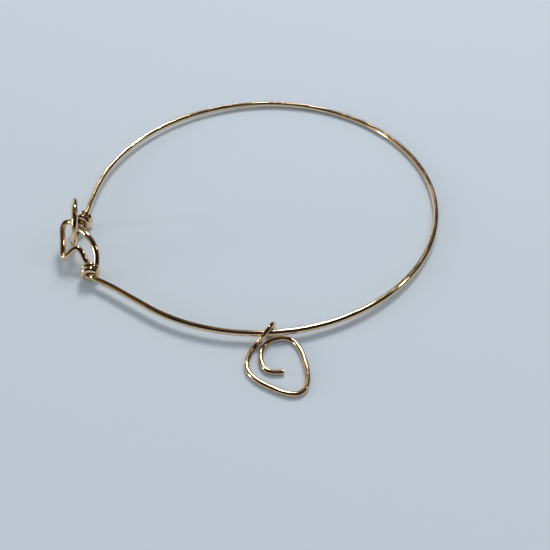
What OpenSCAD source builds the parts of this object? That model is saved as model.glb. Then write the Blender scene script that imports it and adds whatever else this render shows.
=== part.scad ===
// Wire bracelet: a round bangle bent from one wire, whose ends are a hook and an upright eye,
// with a spiral charm of thinner wire hung on it.
// The origin is at the middle of the ring, on the surface that the bracelet lies on. Millimetres.

/* [Bangle] */
// Diameter of the ring along the middle of its wire
ring_d = 64.4; // [63:0.1:66]
// Diameter of the bangle's wire
wire_d = 1.05; // [0.95:0.05:1.05]

/* [Clasp] */
// Diameter of the eye along the middle of its wire
eye_d = 8.4; // [8.2:0.1:8.6]
// Lean of the eye from upright, towards the inside of the bangle
eye_lean = 13; // [11:1:15]
// Turns of the coil at the foot of the hook
hook_coil_turns = 1.9; // [1.5:0.1:1.9]
// Growth of that coil's radius from its start to its open end
hook_coil_flare = 0.15; // [0:0.05:0.15]
// Turns of the coil at the foot of the eye
eye_coil_turns = 1.8; // [1.5:0.1:1.9]
// Gap between a coil and the wire inside it
coil_gap = 0.05; // [0.04:0.01:0.06]
// Gap between one turn of a coil and the next
turn_gap = 0.03; // [0.02:0.01:0.04]

/* [Charm] */
// Diameter of the charm's wire
charm_wire_d = 0.85; // [0.75:0.05:0.85]

/* [Rest] */
// Height of the ring's middle over the surface
lift = 1.11; // [1.11:0.01:1.15]
// Lean of the bangle, which lies on its clasp and its charm
lean = 1.03; // [1:0.01:1.05]
// Direction in which the bangle leans down, from the +X axis
low_side = 37; // [35:1:39]

/* [Fineness] */
// Sides of the bent wires
wire_sides = 12; // [8:2:14]
// Steps between two points of a bent wire
route_steps = 4; // [3:1:5]

/* [Hidden] */
gold = "#b8925a";
// Facets of the round ring and of its section
ring_fn = 120;
section_fn = 36;

// The tables hold a wire's middle line as [x, y, z]. They were drawn for this ring, and follow its size.
drawn_ring_d = 64.4;
fit = ring_d / drawn_ring_d;
ring_r = ring_d / 2;
wire_r = wire_d / 2;
charm_wire_r = charm_wire_d / 2;
// A bent wire's corners stay just inside its round outline
corner_share = 0.98;
// Angles at which the round ring passes into its hook side and its eye side
hook_side = 232;
eye_side = 170;
// Stretch, in degrees, that each bent end reaches into the round ring
overlap = 0.4;
// Degrees between the points of the ring that steer a bent end as it leaves it
lead = 1;
// Steps of a coil for each turn, and how many of its points steer the smooth line that leads into it
coil_steps = 24;
coil_lead = 4;

// From the ring through the coil, along the inner strand to the tip, and back along the outer strand.
// The z is from the ring's own plane.
hook_route = [
  [-22.95, -23.05, 0], [-26, -20.75, -0.05], [-27.8, -19.6, -0.1], [-28.75, -19.05, -0.15], [-29.4, -18.4, 0],
  [-29.75, -17.3, 0.1], [-29.95, -16.4, 0.1], [-30.4, -15.65, 0.2], [-30.95, -15, 0.5], [-31.3, -14.25, 1.15],
  [-31.75, -13.65, 1.7], [-32.4, -13.3, 1.95], [-33.15, -13.45, 1.7], [-33.75, -13.8, 1.25],
  [-34.35, -14.1, 0.8], [-34.85, -14.05, 0.45], [-35.15, -13.6, 0.45], [-35.25, -12.8, 0.75], [-35.25, -11.8, 1.2],
  [-35.35, -10.6, 1.75], [-35.5, -9.6, 2.15], [-35.6, -8.6, 2.45], [-35.4, -7.7, 2.7], [-34.8, -7.35, 2.9],
  [-34, -7.7, 3.05], [-33.1, -8.65, 3.15], [-31.9, -10, 3.25], [-30.7, -11.3, 3.1], [-29.7, -12.5, 2.65],
  [-29.15, -13.5, 2], [-28.9, -14.6, 1.3], [-28.85, -15.4, 0.7]];
hook_coil_from = [-30, -16.25, 0.1];
hook_coil_to = [-29.65, -18.3, 0.1];

// From the ring through the coil to the foot of the eye
eye_stem = [
  [-32.2, 2.4, 0], [-32.55, 0.4, 0], [-32.65, -1.3, 0], [-32.85, -3, 0], [-33.2, -4.8, 0.05], [-33.45, -5.85, -0.15],
  [-33.85, -6.7, -0.75], [-34.2, -7.8, -1.15]];
eye_middle = [-33.5, -8.05, 3];
// Direction of the eye's plane along the surface, from the +X axis
eye_heading = 98.5;
// The eye's round stretch, as angles up from its heading: from its foot, over its top and down its back
eye_from = -105;
eye_step = -35;
eye_until = -350;
// From the eye's back to its coil
eye_return = [[-34.5, -4.95, 1.2]];
eye_coil_from = [-33.25, -5, 0];
eye_coil_to = [-32.85, -3.05, 0];

// From the inner end round the spiral and up over the bangle, and down under it again.
// The z is from the height at which the charm's wire lies on the surface.
charm_route = [
  [3, -39.2, 0], [2.25, -39.25, 0], [1.4, -39.25, 0], [0.65, -39.05, 0], [0, -38.5, 0], [-0.45, -37.6, 0],
  [-0.6, -36.5, 0], [-0.55, -35.4, 0], [-0.3, -34.4, 0], [0.2, -33.5, 0], [1, -32.9, 0], [2.05, -32.55, 0],
  [3.2, -32.5, 0], [4.35, -32.85, 0], [5.2, -33.8, 0], [5.75, -35, 0], [6.15, -36.3, 0], [6.45, -37.8, 0],
  [6.65, -39.3, 0], [6.65, -40.85, 0], [6.35, -42.3, 0], [5.55, -43.3, 0], [4.4, -43.55, 0], [3.3, -43.3, 0],
  [1.9, -42.65, 0], [0.4, -41.8, 0], [-0.95, -40.9, 0], [-2.1, -39.75, 0], [-2.75, -38.5, 0],
  [-2.85, -37.2, 0], [-2.55, -35.85, 0], [-1.95, -34.5, 0], [-1.25, -33.7, 0.15], [-0.55, -33.45, 0.95],
  [0.25, -32.9, 1.95], [1.05, -31.8, 2.15], [1.5, -30.8, 1.7], [1.6, -30.2, 1], [1.5, -30.2, 0.45],
  [1.25, -30.55, 0.05], [0.9, -31.15, 0], [0.5, -32, 0]];

function unit(v) = v / norm(v);

// Point of the ring's middle line at an angle
function ring_point(angle) = ring_r * [cos(angle), sin(angle), 0];

// Point of the smooth line that a, b, c and d steer, at a share t of its stretch from b to c
function smooth_point(a, b, c, d, t) =
  (pow(1 - t, 3) * a + (3 * pow(t, 3) - 6 * t * t + 4) * b + (1 + 3 * t + 3 * t * t - 3 * pow(t, 3)) * c
    + pow(t, 3) * d) / 6;

// Smooth line along a route, from close to its second point to close to its last but one
function smooth_line(route) =
  let (last = len(route) - 2)
  [for (i = [1:last - 1], k = [0:route_steps - 1])
    smooth_point(route[i - 1], route[i], route[i + 1], route[i + 2], k / route_steps),
  smooth_point(route[last - 2], route[last - 1], route[last], route[last + 1], 1)];

// A coil round the line from one point towards another, which starts downwards at its own side
// and opens by its flare
function coil_line(from, to, turns, flare) =
  let (
    along = unit(to - from),
    side = unit(cross(along, [0, 0, 1])),
    up = cross(side, along),
    pitch = wire_d + turn_gap,
    last = round(turns * coil_steps))
  [for (i = [0:last])
    let (a = 180 + 360 * i / coil_steps, radius = wire_d + coil_gap + flare * i / last)
    from + along * pitch * i / coil_steps + radius * (cos(a) * side + sin(a) * up)];

// Directions along a line, one at each point
function directions(line) =
  let (last = len(line) - 1)
  [for (i = [0:last]) unit(line[min(i + 1, last)] - line[max(i - 1, 0)])];

// Directions across a line, each turned from the one before as little as may be
function crossings(along) = [
  for (i = 0, side = unit(cross(along[0], [0, 0, 1]));
    i < len(along);
    i = i + 1, side = i < len(along) ? unit(side - (side * along[i]) * along[i]) : side)
    side];

// A round wire along a line, with flat ends
module wire(line, radius) {
  n = wire_sides;
  last = len(line) - 1;
  along = directions(line);
  side = crossings(along);
  corners = [
    for (i = [0:last], k = [0:n - 1])
      let (a = 360 * k / n, up = cross(along[i], side[i]))
      line[i] + radius * corner_share * (cos(a) * side[i] + sin(a) * up)];
  skin = [
    for (i = [0:last - 1], k = [0:n - 1])
      let (p = i * n + k, q = i * n + (k + 1) % n)
      each [[p, p + n, q + n], [p, q + n, q]]];
  ends = [[for (k = [0:n - 1]) k], [for (k = [n - 1:-1:0]) last * n + k]];
  polyhedron(points = corners, faces = concat(skin, ends));
}

// Points of the ring that a bent end starts from, on the ring's side of its end
function ring_end(side, back) = [for (i = [1, 0, -1]) ring_point(side + back * (overlap + lead * i))];

// A smooth line that runs on as a coil
function into_coil(route, coil) =
  concat(
    smooth_line(concat(route, [for (i = [0:coil_lead - 1]) coil[i]])),
    [for (i = [coil_lead - 1:len(coil) - 1]) coil[i]]);

// The hook's side of the bangle, from the ring to the end of the coil
function hook_line() =
  into_coil(
    concat(ring_end(hook_side, 1), fit * hook_route),
    coil_line(fit * hook_coil_from, fit * hook_coil_to, hook_coil_turns, hook_coil_flare));

// The eye's side of the bangle, from the ring to the end of the coil.
// A smooth line cuts the corners of a round route, so the route's circle is the larger one.
function eye_line() =
  let (
    heading = [cos(eye_heading), sin(eye_heading), 0],
    rise = [sin(eye_lean), 0, cos(eye_lean)],
    radius = eye_d / 2 * 3 / (2 + cos(eye_step)),
    round_eye = [for (a = [eye_from:eye_step:eye_until])
      fit * eye_middle + radius * (cos(a) * heading + sin(a) * rise)])
  into_coil(
    concat(ring_end(eye_side, -1), fit * eye_stem, round_eye, fit * eye_return),
    coil_line(fit * eye_coil_from, fit * eye_coil_to, eye_coil_turns, 0));

// The charm's wire, which starts and ends straight
function charm_line() =
  let (
    last = len(charm_route) - 1,
    before = 2 * charm_route[0] - charm_route[1],
    after = 2 * charm_route[last] - charm_route[last - 1])
  smooth_line(concat([before], charm_route, [after]));

// Lays the bangle's own plane down as it rests, on its clasp, its charm and its low side
module lay() {
  translate([0, 0, lift])
    rotate(a = lean, v = [-sin(low_side), cos(low_side), 0])
      children();
}

module ring() {
  rotate([0, 0, hook_side])
    rotate_extrude(angle = 360 + eye_side - hook_side, $fn = ring_fn)
      translate([ring_r, 0])
        circle(r = wire_r, $fn = section_fn);
}

module bangle_wire() {
  color(gold)
    lay() {
      ring();
      wire(hook_line(), wire_r);
      wire(eye_line(), wire_r);
    }
}

module charm_wire() {
  color(gold)
    translate([0, 0, charm_wire_r])
      wire(fit * charm_line(), charm_wire_r);
}

bangle_wire();
charm_wire();
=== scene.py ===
"""Wire bracelet: a round bangle bent from one gold-coloured wire, whose ends are a hook and an upright eye,
with a spiral charm of thinner wire hung on it. It lies on a plain pale table under a soft window light."""

from bisect import bisect_right
from math import cos, pi, radians, sin

import bmesh
import bpy
from mathutils import Euler, Matrix, Vector


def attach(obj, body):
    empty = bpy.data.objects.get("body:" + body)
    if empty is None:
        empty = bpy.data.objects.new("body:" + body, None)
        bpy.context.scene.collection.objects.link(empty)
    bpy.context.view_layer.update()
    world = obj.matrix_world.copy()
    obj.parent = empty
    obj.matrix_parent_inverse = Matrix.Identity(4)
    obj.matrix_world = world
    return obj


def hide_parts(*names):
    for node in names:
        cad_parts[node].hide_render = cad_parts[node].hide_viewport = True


MM = 0.001

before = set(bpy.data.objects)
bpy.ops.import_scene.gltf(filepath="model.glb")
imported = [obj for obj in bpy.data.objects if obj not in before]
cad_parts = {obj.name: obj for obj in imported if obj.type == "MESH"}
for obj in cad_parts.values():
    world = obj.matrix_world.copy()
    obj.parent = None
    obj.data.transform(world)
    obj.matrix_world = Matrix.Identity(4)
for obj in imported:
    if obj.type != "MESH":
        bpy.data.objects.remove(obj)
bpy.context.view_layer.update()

# ---------------------------------------------------------------- camera

# Its place in millimetres and its turn in degrees, from the ring's outline seen as a circle in perspective
CAMERA_PLACE = (3.431, -113.559, 100.428)
CAMERA_TURN = (43.5305, 1.8911, -1.129)
CAMERA_LENS = 52.364

camera_data = bpy.data.cameras.new("camera")
camera_data.sensor_width = 36
camera_data.lens = CAMERA_LENS
camera_data.clip_start = 0.01
camera_data.clip_end = 20
camera = bpy.data.objects.new("camera", camera_data)
camera.location = Vector(CAMERA_PLACE) * MM
camera.rotation_euler = Euler([radians(a) for a in CAMERA_TURN], "XYZ")
bpy.context.collection.objects.link(camera)
bpy.context.scene.camera = camera

# ---------------------------------------------------------------- sizes and routes, in millimetres

RING_R = 32.2
WIRE_D = 1.05
CHARM_WIRE_D = 0.85
EYE_D = 8.4
EYE_LEAN = 13
COIL_GAP = 0.05
TURN_GAP = 0.03
HOOK_TURNS = 1.9
HOOK_FLARE = 0.15
EYE_TURNS = 1.8

# The bangle lies on its clasp, its charm and its low side
LIFT = 1.11
LEAN = 1.03
LOW_SIDE = 37

# Angles at which the round ring passes into its hook side and its eye side
HOOK_SIDE = 232
EYE_SIDE = 170
OVERLAP = 0.4
LEAD = 1

# From the ring through the coil, along the inner strand to the tip, and back along the outer strand
HOOK_ROUTE = [
    (-22.95, -23.05, 0), (-26, -20.75, -0.05), (-27.8, -19.6, -0.1), (-28.75, -19.05, -0.15), (-29.4, -18.4, 0),
    (-29.75, -17.3, 0.1), (-29.95, -16.4, 0.1), (-30.4, -15.65, 0.2), (-30.95, -15, 0.5), (-31.3, -14.25, 1.15),
    (-31.75, -13.65, 1.7), (-32.4, -13.3, 1.95), (-33.15, -13.45, 1.7), (-33.75, -13.8, 1.25),
    (-34.35, -14.1, 0.8), (-34.85, -14.05, 0.45), (-35.15, -13.6, 0.45), (-35.25, -12.8, 0.75),
    (-35.25, -11.8, 1.2), (-35.35, -10.6, 1.75), (-35.5, -9.6, 2.15), (-35.6, -8.6, 2.45), (-35.4, -7.7, 2.7),
    (-34.8, -7.35, 2.9), (-34, -7.7, 3.05), (-33.1, -8.65, 3.15), (-31.9, -10, 3.25), (-30.7, -11.3, 3.1),
    (-29.7, -12.5, 2.65), (-29.15, -13.5, 2), (-28.9, -14.6, 1.3), (-28.85, -15.4, 0.7),
]
HOOK_COIL = ((-30, -16.25, 0.1), (-29.65, -18.3, 0.1))

# From the ring through the coil to the foot of the eye
EYE_STEM = [
    (-32.2, 2.4, 0), (-32.55, 0.4, 0), (-32.65, -1.3, 0), (-32.85, -3, 0), (-33.2, -4.8, 0.05),
    (-33.45, -5.85, -0.15), (-33.85, -6.7, -0.75), (-34.2, -7.8, -1.15),
]
EYE_MIDDLE = (-33.5, -8.05, 3)
EYE_HEADING = 98.5
EYE_ANGLES = range(-105, -351, -35)
EYE_RETURN = [(-34.5, -4.95, 1.2)]
EYE_COIL = ((-33.25, -5, 0), (-32.85, -3.05, 0))

# From the inner end round the spiral, up over the bangle's wire and down under it again
CHARM_ROUTE = [
    (3, -39.2, 0), (2.25, -39.25, 0), (1.4, -39.25, 0), (0.65, -39.05, 0), (0, -38.5, 0), (-0.45, -37.6, 0),
    (-0.6, -36.5, 0), (-0.55, -35.4, 0), (-0.3, -34.4, 0), (0.2, -33.5, 0), (1, -32.9, 0), (2.05, -32.55, 0),
    (3.2, -32.5, 0), (4.35, -32.85, 0), (5.2, -33.8, 0), (5.75, -35, 0), (6.15, -36.3, 0), (6.45, -37.8, 0),
    (6.65, -39.3, 0), (6.65, -40.85, 0), (6.35, -42.3, 0), (5.55, -43.3, 0), (4.4, -43.55, 0), (3.3, -43.3, 0),
    (1.9, -42.65, 0), (0.4, -41.8, 0), (-0.95, -40.9, 0), (-2.1, -39.75, 0), (-2.75, -38.5, 0),
    (-2.85, -37.2, 0), (-2.55, -35.85, 0), (-1.95, -34.5, 0), (-1.25, -33.7, 0.15), (-0.55, -33.45, 0.95),
    (0.25, -32.9, 1.95), (1.05, -31.8, 2.15), (1.5, -30.8, 1.7), (1.6, -30.2, 1), (1.5, -30.2, 0.45),
    (1.25, -30.55, 0.05), (0.9, -31.15, 0), (0.5, -32, 0),
]

# Fineness: sections between two points of a route, sections for each turn of a coil, and sides of a wire
ROUTE_STEPS = 8
COIL_STEPS = 48
COIL_LEAD = 4
SIDES = 32
# The cut ends are filed round by this much, and no other section stands this close to an end
END_ROUND = 0.13
END_CLEAR = 0.25


def points(route):
    return [Vector(p) for p in route]


def ring_point(angle):
    """A point on the middle line of the round ring."""
    return RING_R * Vector((cos(radians(angle)), sin(radians(angle)), 0))


def smooth_line(route):
    """The smooth line that a route steers, as the CAD source makes it."""
    line = []
    for a, b, c, d in zip(route, route[1:], route[2:], route[3:]):
        for k in range(ROUTE_STEPS):
            t = k / ROUTE_STEPS
            line.append(
                ((1 - t) ** 3 * a + (3 * t**3 - 6 * t * t + 4) * b + (1 + 3 * t + 3 * t * t - 3 * t**3) * c + t**3 * d)
                / 6
            )
    line.append((route[-3] + 4 * route[-2] + route[-1]) / 6)
    return line


def coil_line(ends, turns, flare, per_turn):
    """A coil round the line between two points, which starts downwards at its own side and opens by its flare."""
    start, end = points(ends)
    along = (end - start).normalized()
    side = along.cross(Vector((0, 0, 1))).normalized()
    up = side.cross(along)
    line = []
    last = round(turns * per_turn)
    for i in range(last + 1):
        a = pi + 2 * pi * i / per_turn
        radius = WIRE_D + COIL_GAP + flare * i / last
        line.append(start + along * (WIRE_D + TURN_GAP) * i / per_turn + radius * (cos(a) * side + sin(a) * up))
    return line


def into_coil(route, coil, turns, flare=0):
    """A smooth line that runs on as a coil."""
    lead = coil_line(coil, turns, flare, COIL_STEPS / 2)[:COIL_LEAD]
    fine = coil_line(coil, turns, flare, COIL_STEPS)
    return smooth_line(route + lead) + fine[2 * (COIL_LEAD - 1) :]


def ring_end(side, back):
    """Points of the ring that a bent end starts from."""
    return [ring_point(side + back * (OVERLAP + LEAD * i)) for i in (1, 0, -1)]


def bangle_line():
    """The bangle's one wire, from the end of the hook's coil round the ring to the end of the eye's coil."""
    hook = into_coil(ring_end(HOOK_SIDE, 1) + points(HOOK_ROUTE), HOOK_COIL, HOOK_TURNS, HOOK_FLARE)
    heading = Vector((cos(radians(EYE_HEADING)), sin(radians(EYE_HEADING)), 0))
    rise = Vector((sin(radians(EYE_LEAN)), 0, cos(radians(EYE_LEAN))))
    radius = EYE_D / 2 * 3 / (2 + cos(radians(EYE_ANGLES.step)))
    round_eye = [
        Vector(EYE_MIDDLE) + radius * (cos(radians(a)) * heading + sin(radians(a)) * rise) for a in EYE_ANGLES
    ]
    eye = into_coil(
        ring_end(EYE_SIDE, -1) + points(EYE_STEM) + round_eye + points(EYE_RETURN), EYE_COIL, EYE_TURNS
    )
    ring = [ring_point(a) for a in range(HOOK_SIDE + 2, EYE_SIDE + 360 - 1)]
    lay = Matrix.Translation((0, 0, LIFT)) @ Matrix.Rotation(
        radians(LEAN), 4, (-sin(radians(LOW_SIDE)), cos(radians(LOW_SIDE)), 0)
    )
    return [lay @ p for p in hook[::-1] + ring + eye]


def charm_line():
    """The charm's wire, which lies on the table and starts and ends straight."""
    route = points(CHARM_ROUTE)
    line = smooth_line([2 * route[0] - route[1]] + route + [2 * route[-1] - route[-2]])
    return [p + Vector((0, 0, CHARM_WIRE_D / 2)) for p in line]


def bent_wire(name, line, diameter):
    """A straight round wire with filed ends, bent along a line.
    Its attribute "straight" keeps each point's place in the straight wire, so its finish follows the wire."""
    places = [0.0]
    for p, q in zip(line, line[1:]):
        places.append(places[-1] + (q - p).length)
    keep = [i for i, s in enumerate(places) if END_CLEAR < s < places[-1] - END_CLEAR]
    keep = [0, *keep, len(line) - 1]
    line, places = [line[i] for i in keep], [places[i] for i in keep]
    last = len(line) - 1
    length = places[-1]
    along = [(line[min(i + 1, last)] - line[max(i - 1, 0)]).normalized() for i in range(last + 1)]
    across = [along[0].cross(Vector((0, 0, 1))).normalized()]
    for t in along[1:]:
        across.append((across[-1] - across[-1].dot(t) * t).normalized())

    bm = bmesh.new()
    bmesh.ops.create_cone(
        bm,
        cap_ends=True,
        segments=SIDES,
        radius1=diameter / 2,
        radius2=diameter / 2,
        depth=length,
        matrix=Matrix.Translation((0, 0, length / 2)),
    )
    rims = [e for e in bm.edges if abs(e.verts[0].co.z - e.verts[1].co.z) < length / 2]
    bmesh.ops.bevel(
        bm, geom=rims, offset=END_ROUND, offset_type="OFFSET", segments=4, profile=0.5, affect="EDGES", material=-1
    )
    long_edges = [e for e in bm.edges if abs(e.verts[0].co.z - e.verts[1].co.z) > length / 2]
    bmesh.ops.subdivide_edges(bm, edges=long_edges, cuts=last - 1)
    stretch = (length - 2 * END_ROUND) / last
    for v in bm.verts:
        i = round((v.co.z - END_ROUND) / stretch)
        if 0 < i < last:
            v.co.z = places[i]
    straight = bm.verts.layers.float_vector.new("straight")
    for v in bm.verts:
        v[straight] = v.co * MM
        x, y, s = v.co
        i = min(max(bisect_right(places, s) - 1, 0), last - 1)
        t = min(max((s - places[i]) / (places[i + 1] - places[i]), 0), 1)
        middle = line[i].lerp(line[i + 1], t)
        side = across[i].lerp(across[i + 1], t).normalized()
        up = along[i].lerp(along[i + 1], t).normalized().cross(side)
        v.co = (middle + x * side + y * up) * MM
    bmesh.ops.recalc_face_normals(bm, faces=bm.faces)
    for f in bm.faces:
        f.smooth = True
    mesh = bpy.data.meshes.new(name)
    bm.to_mesh(mesh)
    bm.free()
    piece = bpy.data.objects.new(name, mesh)
    bpy.context.collection.objects.link(piece)
    return piece


# ---------------------------------------------------------------- finishes

# How fine the patterns are, as noise scales for each metre: the drawing lines across and along the wire, the
# waves of its bends and the browner spots
LINES_ACROSS = 14000
LINES_ALONG = 260
WAVES = 420
SPOTS = 1900
# Depths of the lines and waves, and size of a smudge, in metres
LINE_DEPTH = 0.0000022
WAVE_DEPTH = 0.00001
SMUDGE_SIZE = 0.003


def group_with(name, inputs, outputs):
    """An empty node group with named inputs and outputs, and its two end nodes."""
    group = bpy.data.node_groups.new(name, "ShaderNodeTree")
    for label, kind, value in inputs:
        socket = group.interface.new_socket(label, in_out="INPUT", socket_type=kind)
        if value is not None:
            socket.default_value = value
    for label, kind in outputs:
        group.interface.new_socket(label, in_out="OUTPUT", socket_type=kind)
    return group, group.nodes.new("NodeGroupInput"), group.nodes.new("NodeGroupOutput")


def drawn_wire_group():
    """Fine lines along a wire from its drawing die, and slow waves from its bending by hand, as one height."""
    group, ins, outs = group_with(
        "drawn_wire",
        [
            ("Straight", "NodeSocketVector", None),
            ("Line depth", "NodeSocketFloat", LINE_DEPTH),
            ("Wave depth", "NodeSocketFloat", WAVE_DEPTH),
        ],
        [("Height", "NodeSocketFloat")],
    )
    nodes, links = group.nodes, group.links
    squeeze = nodes.new("ShaderNodeMapping")
    squeeze.inputs["Scale"].default_value = (LINES_ACROSS, LINES_ACROSS, LINES_ALONG)
    lines = nodes.new("ShaderNodeTexNoise")
    lines.inputs["Scale"].default_value = 1
    lines.inputs["Detail"].default_value = 3
    lines.inputs["Roughness"].default_value = 0.6
    links.new(ins.outputs["Straight"], squeeze.inputs["Vector"])
    links.new(squeeze.outputs["Vector"], lines.inputs["Vector"])
    waves = nodes.new("ShaderNodeTexNoise")
    waves.inputs["Scale"].default_value = WAVES
    waves.inputs["Detail"].default_value = 1.5
    links.new(ins.outputs["Straight"], waves.inputs["Vector"])
    line_height = nodes.new("ShaderNodeMath")
    line_height.operation = "MULTIPLY"
    links.new(lines.outputs["Fac"], line_height.inputs[0])
    links.new(ins.outputs["Line depth"], line_height.inputs[1])
    wave_height = nodes.new("ShaderNodeMath")
    wave_height.operation = "MULTIPLY_ADD"
    links.new(waves.outputs["Fac"], wave_height.inputs[0])
    links.new(ins.outputs["Wave depth"], wave_height.inputs[1])
    links.new(line_height.outputs["Value"], wave_height.inputs[2])
    links.new(wave_height.outputs["Value"], outs.inputs["Height"])
    return group


def handling_group():
    """Where a wire has been handled: soft smudges from fingers, and browner spots in the gold."""
    group, ins, outs = group_with(
        "handling",
        [
            ("Straight", "NodeSocketVector", None),
            ("Smudge size", "NodeSocketFloat", SMUDGE_SIZE),
        ],
        [("Smudges", "NodeSocketFloat"), ("Spots", "NodeSocketFloat")],
    )
    nodes, links = group.nodes, group.links
    density = nodes.new("ShaderNodeMath")
    density.operation = "DIVIDE"
    density.inputs[0].default_value = 1
    links.new(ins.outputs["Smudge size"], density.inputs[1])
    smudges = nodes.new("ShaderNodeTexNoise")
    smudges.inputs["Detail"].default_value = 4
    smudges.inputs["Distortion"].default_value = 0.4
    links.new(ins.outputs["Straight"], smudges.inputs["Vector"])
    links.new(density.outputs["Value"], smudges.inputs["Scale"])
    smudge_range = nodes.new("ShaderNodeMapRange")
    smudge_range.inputs["From Min"].default_value = 0.4
    smudge_range.inputs["From Max"].default_value = 0.68
    links.new(smudges.outputs["Fac"], smudge_range.inputs["Value"])
    spots = nodes.new("ShaderNodeTexNoise")
    spots.inputs["Scale"].default_value = SPOTS
    spots.inputs["Detail"].default_value = 5
    links.new(ins.outputs["Straight"], spots.inputs["Vector"])
    spot_range = nodes.new("ShaderNodeMapRange")
    spot_range.inputs["From Min"].default_value = 0.52
    spot_range.inputs["From Max"].default_value = 0.75
    links.new(spots.outputs["Fac"], spot_range.inputs["Value"])
    links.new(smudge_range.outputs["Result"], outs.inputs["Smudges"])
    links.new(spot_range.outputs["Result"], outs.inputs["Spots"])
    return group


DRAWN_WIRE = drawn_wire_group()
HANDLING = handling_group()


def gold(name, clean, brown, smooth, smudged, wave_depth, smudge_size):
    """A polished gold-coloured wire finish, from its clean colour to its browner spots, and from its smooth
    roughness to that of its smudges."""
    material = bpy.data.materials.new(name)
    material.use_nodes = True
    nodes, links = material.node_tree.nodes, material.node_tree.links
    shader = nodes["Principled BSDF"]
    shader.inputs["Metallic"].default_value = 1
    straight = nodes.new("ShaderNodeAttribute")
    straight.attribute_name = "straight"
    drawn = nodes.new("ShaderNodeGroup")
    drawn.node_tree = DRAWN_WIRE
    drawn.inputs["Wave depth"].default_value = wave_depth
    handled = nodes.new("ShaderNodeGroup")
    handled.node_tree = HANDLING
    handled.inputs["Smudge size"].default_value = smudge_size
    for group in (drawn, handled):
        links.new(straight.outputs["Vector"], group.inputs["Straight"])
    colour = nodes.new("ShaderNodeMix")
    colour.data_type = "RGBA"
    colour.inputs["A"].default_value = (*clean, 1)
    colour.inputs["B"].default_value = (*brown, 1)
    links.new(handled.outputs["Spots"], colour.inputs["Factor"])
    links.new(colour.outputs["Result"], shader.inputs["Base Color"])
    rough = nodes.new("ShaderNodeMapRange")
    rough.inputs["To Min"].default_value = smooth
    rough.inputs["To Max"].default_value = smudged
    links.new(handled.outputs["Smudges"], rough.inputs["Value"])
    links.new(rough.outputs["Result"], shader.inputs["Roughness"])
    bump = nodes.new("ShaderNodeBump")
    bump.inputs["Strength"].default_value = 1
    bump.inputs["Distance"].default_value = 1
    links.new(drawn.outputs["Height"], bump.inputs["Height"])
    links.new(bump.outputs["Normal"], shader.inputs["Normal"])
    return material


bangle_gold = gold("bangle_gold", (0.89, 0.68, 0.44), (0.6, 0.36, 0.16), 0.09, 0.18, WAVE_DEPTH, SMUDGE_SIZE)
charm_gold = gold("charm_gold", (0.86, 0.62, 0.39), (0.52, 0.29, 0.13), 0.09, 0.16, WAVE_DEPTH, SMUDGE_SIZE)

# ---------------------------------------------------------------- the bracelet

bangle = bent_wire("bangle", bangle_line(), WIRE_D)
bangle.data.materials.append(bangle_gold)
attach(bangle, "root")
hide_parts("bangle_wire")

charm = bent_wire("spiral_charm", charm_line(), CHARM_WIRE_D)
charm.data.materials.append(charm_gold)
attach(charm, "root")
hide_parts("charm_wire")

# ---------------------------------------------------------------- table and light

HALF_TABLE = 1.5
PALE_BLUE = (0.58, 0.64, 0.71)

bm = bmesh.new()
bmesh.ops.create_grid(bm, x_segments=1, y_segments=1, size=HALF_TABLE)
table_mesh = bpy.data.meshes.new("table")
bm.to_mesh(table_mesh)
bm.free()
table = bpy.data.objects.new("table", table_mesh)
bpy.context.collection.objects.link(table)
pale_table = bpy.data.materials.new("pale_table")
pale_table.use_nodes = True
matt = pale_table.node_tree.nodes["Principled BSDF"]
matt.inputs["Base Color"].default_value = (*PALE_BLUE, 1)
matt.inputs["Roughness"].default_value = 0.85
matt.inputs["Specular IOR Level"].default_value = 0.2
table_mesh.materials.append(pale_table)


def soft_light(name, towards, long_way, distance, size, power, colour, lights=True, mirrored=True):
    """A light that faces the bracelet from a direction. It may light the scene, be mirrored in the wire, or both.
    Its size and power are those of a light 1 m away, and grow with its distance."""
    data = bpy.data.lights.new(name, "AREA")
    data.shape = "RECTANGLE"
    data.size, data.size_y = (distance * s for s in size)
    data.energy = power * distance**2
    data.color = colour
    light = bpy.data.objects.new(name, data)
    back = Vector(towards).normalized()
    across = back.cross(Vector(long_way)).normalized()
    turn = Matrix((across.cross(back), across, back)).transposed()
    light.matrix_world = Matrix.Translation(distance * back) @ turn.to_4x4()
    light.visible_camera = False
    light.visible_diffuse = lights
    light.visible_glossy = mirrored
    bpy.context.collection.objects.link(light)


# A soft box gives the shadows, and the window in its middle the long gleams. A tall light beyond the table's left
# edge and a small lamp on the right give the short highlights of the clasp, the bail and the ring's right.
soft_light("soft_box", (0.2, 0.62, 0.76), (1, 0, 0), 1, (0.3, 0.3), 5.5, (1, 0.985, 0.96), mirrored=False)
soft_light("window", (0.085, 0.635, 0.768), (0.09, -0.05, 0), 1, (0.125, 0.06), 3.3, (1, 0.975, 0.94), lights=False)
soft_light("tall_light", (-0.96, -0.08, 0.24), (0, 0, 1), 3, (0.32, 0.08), 1.9, (1, 0.98, 0.93))
soft_light("side_lamp", (0.7, 0.16, 0.7), (1, 0, 0), 1, (0.06, 0.06), 0.55, (1, 0.97, 0.92))

# The room: a soft glow that lights the table. The wire mirrors dark walls, a little lighter by the window,
# with a softly lit wall on the left, a pale corner behind it and a pale front.
GLOW = (0.9, 0.96, 1)
GLOW_STRENGTH = 0.48
DARK_WALL = (0.018, 0.0105, 0.006)

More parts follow.
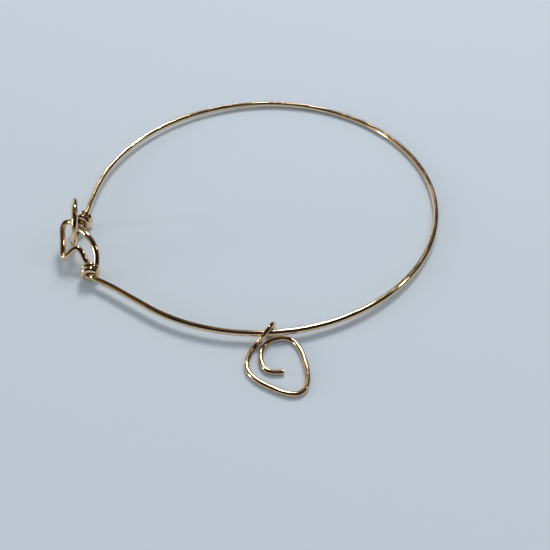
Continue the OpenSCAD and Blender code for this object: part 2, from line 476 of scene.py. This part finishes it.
world = bpy.data.worlds.new("room")
world.use_nodes = True
bpy.context.scene.world = world
nodes, links = world.node_tree.nodes, world.node_tree.links
glow = nodes["Background"]
glow.inputs["Color"].default_value = (*GLOW, 1)
glow.inputs["Strength"].default_value = GLOW_STRENGTH
where = nodes.new("ShaderNodeTexCoord")


def lit_wall(walls_so_far, towards, reach, colour):
    """The walls so far, or dark ones, with a softly lit part in one direction. Its reach is two cosines: at its
    edge, and where it is fully lit."""
    near = nodes.new("ShaderNodeVectorMath")
    near.operation = "DOT_PRODUCT"
    near.inputs[1].default_value = Vector(towards).normalized()
    links.new(where.outputs["Generated"], near.inputs[0])
    fade = nodes.new("ShaderNodeMapRange")
    fade.inputs["From Min"].default_value, fade.inputs["From Max"].default_value = reach
    links.new(near.outputs["Value"], fade.inputs["Value"])
    wall = nodes.new("ShaderNodeMix")
    wall.data_type = "RGBA"
    wall.inputs["A"].default_value = (*DARK_WALL, 1)
    wall.inputs["B"].default_value = (*colour, 1)
    links.new(fade.outputs["Result"], wall.inputs["Factor"])
    if walls_so_far:
        links.new(walls_so_far.outputs["Result"], wall.inputs["A"])
    return wall


by_window = lit_wall(None, (0.15, 0.6, 0.78), (0.7, 1), (0.07, 0.055, 0.045))
left_wall = lit_wall(by_window, (-1, 0.2, 0.1), (0.68, 0.88), (0.26, 0.23, 0.18))
pale_corner = lit_wall(left_wall, (-0.54, 0.8, 0.25), (0.925, 0.975), (0.64, 0.74, 0.88))
pale_front = lit_wall(pale_corner, (-0.3, -0.9, -0.3), (0.65, 0.85), (0.36, 0.42, 0.5))
mirrored_walls = nodes.new("ShaderNodeBackground")
links.new(pale_front.outputs["Result"], mirrored_walls.inputs["Color"])
rays = nodes.new("ShaderNodeLightPath")
room = nodes.new("ShaderNodeMixShader")
links.new(rays.outputs["Is Glossy Ray"], room.inputs["Fac"])
links.new(glow.outputs["Background"], room.inputs[1])
links.new(mirrored_walls.outputs["Background"], room.inputs[2])
links.new(room.outputs["Shader"], nodes["World Output"].inputs["Surface"])

bpy.context.scene.view_settings.view_transform = "Standard"
